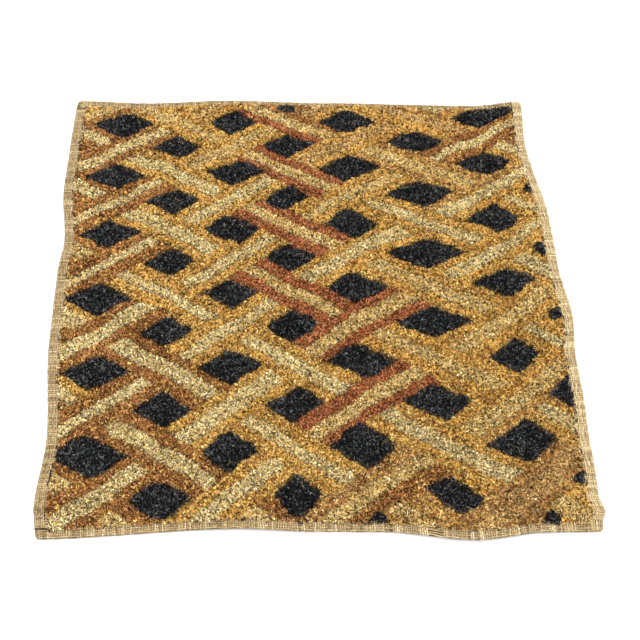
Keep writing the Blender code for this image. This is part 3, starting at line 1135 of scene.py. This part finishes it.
ThreadSet = namedtuple("ThreadSet", "name routes half_wide uneven least most half_thick shade_uneven")
THREAD_SETS = (
    ThreadSet("cross", cross_routes, CROSS_PITCH * 0.38, 0.16, 0.65, 1.3, 0.33, 0.17),
    ThreadSet("along", along_routes, ALONG_PITCH * 0.4, 0.1, 0.8, 1.15, 0.3, 0.06),
)
hem_material = fibre_material("hem_thread", weave_yarn, root_shade=1.0, streak=1.2, rough=0.8)
for strip in HEM_STRIPS:
    for each in THREAD_SETS:
        routes = each.routes(strip)
        count = len(routes)
        half_wide = each.half_wide * np.clip(draw.normal(1, each.uneven, count), each.least, each.most)
        shades = np.clip(draw.normal(strip.paleness, each.shade_uneven, count), 0.02, 0.96)
        piece_name = f"hem_{strip.side}_{each.name}"
        laid_threads(piece_name, routes, half_wide, each.half_thick, shades, hem_material)

# %% [markdown]
# The hems are held by coarse black stitches, short dashes that slant along the edge of the pile:
# many at the left and the right, few at the back and the front. Each is a bent thread that rises
# out of the cloth, crosses the seam and goes down again. The gaps between them are uneven, as in
# hand sewing.

# %% Hem stitches
STITCH_RINGS = 7
STITCH_FOOT, STITCH_RISE = 1.9, 1.2
STITCH_OUT = 0.9  # how far outside the hem's inner edge a stitch lies
Seam = namedtuple("Seam", "side start end gap usual_long")
SEAMS = (
    Seam("left", 26.0, 560.0, 12.0, 6.0),
    Seam("right", 30.0, 566.0, 11.0, 6.0),
    Seam("back", 14.0, 120.0, 26.0, 6.0),
    Seam("front", 14.0, 540.0, 46.0, 5.0),
)


def stitch_routes(seam):
    starts = []
    place = seam.start
    while place < seam.end:
        starts.append(place)
        place += seam.gap * draw.uniform(0.55, 2.2)
    count = len(starts)
    share = np.linspace(0, 1, STITCH_RINGS)[None, :]
    length = (seam.usual_long * np.clip(draw.normal(1, 0.4, count), 0.35, 1.9))[:, None]
    slant = draw.normal(0, 2.2, count)[:, None] * (share - 0.5)
    run = np.array(starts)[:, None] + length * (share - 0.5)
    off = draw.normal(0, 0.4, count)[:, None]
    inwards = SIDES[seam.side].hem - STITCH_OUT + slant + off
    height = STITCH_FOOT + STITCH_RISE * np.sin(math.pi * share) ** 0.5 + 0 * run
    return hem_place(seam.side, run, inwards, height)


black_thread = Yarn("black thread", (8, 7, 7), (22, 19, 18), (52, 48, 46))
stitch_material = fibre_material("stitch_thread", black_thread, root_shade=1.0, streak=0.4, rough=0.7)
stitches = np.concatenate([stitch_routes(seam) for seam in SEAMS])
half_wide = np.clip(draw.normal(0.6, 0.12, len(stitches)), 0.35, 0.9)
shades = draw.uniform(0.1, 0.7, len(stitches))
laid_threads("hem_stitches", stitches, half_wide, 0.42, shades, stitch_material)

# %% [markdown]
# Each corner's fold is sewn down with the same dark thread. Its dark is partly a real seam and
# partly painted shade, standing in for the shadow in the crease. It lies in the crease, across the
# hem that is underneath, and turns in at its inner end. Each fold is given by the points its thread
# passes through on the square cloth.

# %% Corner folds
FOLD_RINGS = 24
FOLD_THREAD_HEIGHT = 2.35
fold_front = SIDES["front"].hem + CORNER_GAP / 2
fold_back = DEPTH - SIDES["back"].hem - CORNER_GAP / 2
fold_right = WIDTH - SIDES["right"].hem - CORNER_GAP / 2
FOLDS = (
    ((0.4, fold_front), (8.0, fold_front + 0.3), (12.5, fold_front), (15.5, fold_front - 3.5)),
    (
        (fold_right - 2.5, fold_front - 1), (fold_right - 2, fold_front + 5),
        (fold_right - 0.5, fold_front + 10),
    ),
    ((0.4, fold_back), (6.0, fold_back - 0.3), (12.0, fold_back), (20.0, fold_back + 0.5)),
    (
        (fold_right, DEPTH - 0.4), (fold_right, DEPTH - 9.0), (fold_right - 0.3, DEPTH - 20),
        (fold_right, DEPTH - 36),
    ),
)

fold_share = np.linspace(0, 1, FOLD_RINGS)
fold_routes = []
for fold in FOLDS:
    across, back = (along(line, fold_share) for line in zip(*fold))
    fold_routes.append(placed(across, back, FOLD_THREAD_HEIGHT))
# the fold thread's dark is partly painted shade for the crease
laid_threads("corner_folds", np.array(fold_routes), 0.55, 0.4, 0.4, stitch_material)

# %% [markdown]
# Fibres have worked loose all over the pile: thin curved strands that lie on top of it, longer and
# darker on the black diamonds.

# %% Loose fibres
FIBRE_RINGS = 8
FIBRE_HEIGHT = 4.15
Loose = namedtuple("Loose", "count on_black usual_long shade")
LOOSE = (Loose(70, True, 7.0, 0.55), Loose(170, False, 5.5, 1.0))


def loose_routes(x, y, length, height):
    """Curled strands that lie on the pile, from places on the square cloth."""
    count = len(x)
    share = np.linspace(0, 1, FIBRE_RINGS)[None, :]
    heading = draw.random(count)[:, None] * 2 * math.pi
    curl = draw.normal(0, 1.2, count)[:, None]
    angle = heading + curl * share
    step = length[:, None] / (FIBRE_RINGS - 1)
    run_x = x[:, None] + np.cumsum(np.cos(angle) * step, axis=1)
    run_y = y[:, None] + np.cumsum(np.sin(angle) * step, axis=1)
    bob = 0.35 * np.sin(math.pi * share * 2 + heading)
    return placed(run_x, run_y, height[:, None] + bob)


def scattered(count, wanted_black):
    """Places of some tufts, of the black yarn or of the others."""
    inside = past_seam(tuft_x, tuft_y) > 6
    pool = np.flatnonzero((is_black == wanted_black) & inside)
    return draw.choice(pool, count, replace=False)


fibre_yarn = Yarn("loose fibre", (120, 104, 72), (176, 156, 112), (222, 204, 158))
loose_material = fibre_material("loose_fibre", fibre_yarn, root_shade=1.0, streak=0.3)
chosen = np.concatenate([scattered(kind.count, kind.on_black) for kind in LOOSE])
usual_long, usual_shade = (
    np.repeat(values, [kind.count for kind in LOOSE])
    for values in ([kind.usual_long for kind in LOOSE], [kind.shade for kind in LOOSE]))
lengths = usual_long * np.clip(draw.normal(1, 0.35, len(chosen)), 0.4, 2.0)
heights = draw.normal(FIBRE_HEIGHT, 0.15, len(chosen))
shades = draw.uniform(0.1, 0.8, len(chosen)) * usual_shade
fibre_routes = loose_routes(tuft_x[chosen], tuft_y[chosen], lengths, heights)
laid_threads("loose_fibres", fibre_routes, 0.15, 0.12, shades, loose_material)

# %% [markdown]
# The cloth, with the pile and the hem's threads on it, stands on a plain white floor under a white
# sky, with one large soft lamp from behind on the right, which gives the pile a little light and
# shade and almost no cast shadow.

start_fresh()
bpy.ops.mesh.primitive_plane_add(size=6.0)
floor = bpy.context.object
floor.name = "floor"
floor_material, _, floor_shader = new_material("floor_white", rough=1.0, shine=0.5)
floor_shader["Base Color"].default_value = (0.93, 0.93, 0.93, 1)
floor.data.materials.append(floor_material)

bpy.context.scene.view_settings.view_transform = "Standard"
world = bpy.data.worlds.new("studio")
world.use_nodes = True
sky = world.node_tree.nodes["Background"].inputs
sky["Color"].default_value = (1, 1, 1, 1)
sky["Strength"].default_value = 1.3
bpy.context.scene.world = world

bpy.ops.object.light_add(type="SUN", location=(0.9, 1.1, 1.5))
lamp = bpy.context.object
lamp.name = "soft_lamp"
lamp.data.energy = 3.8
lamp.data.angle = math.radians(25)
lamp.rotation_euler = lamp.location.to_track_quat("Z", "Y").to_euler()
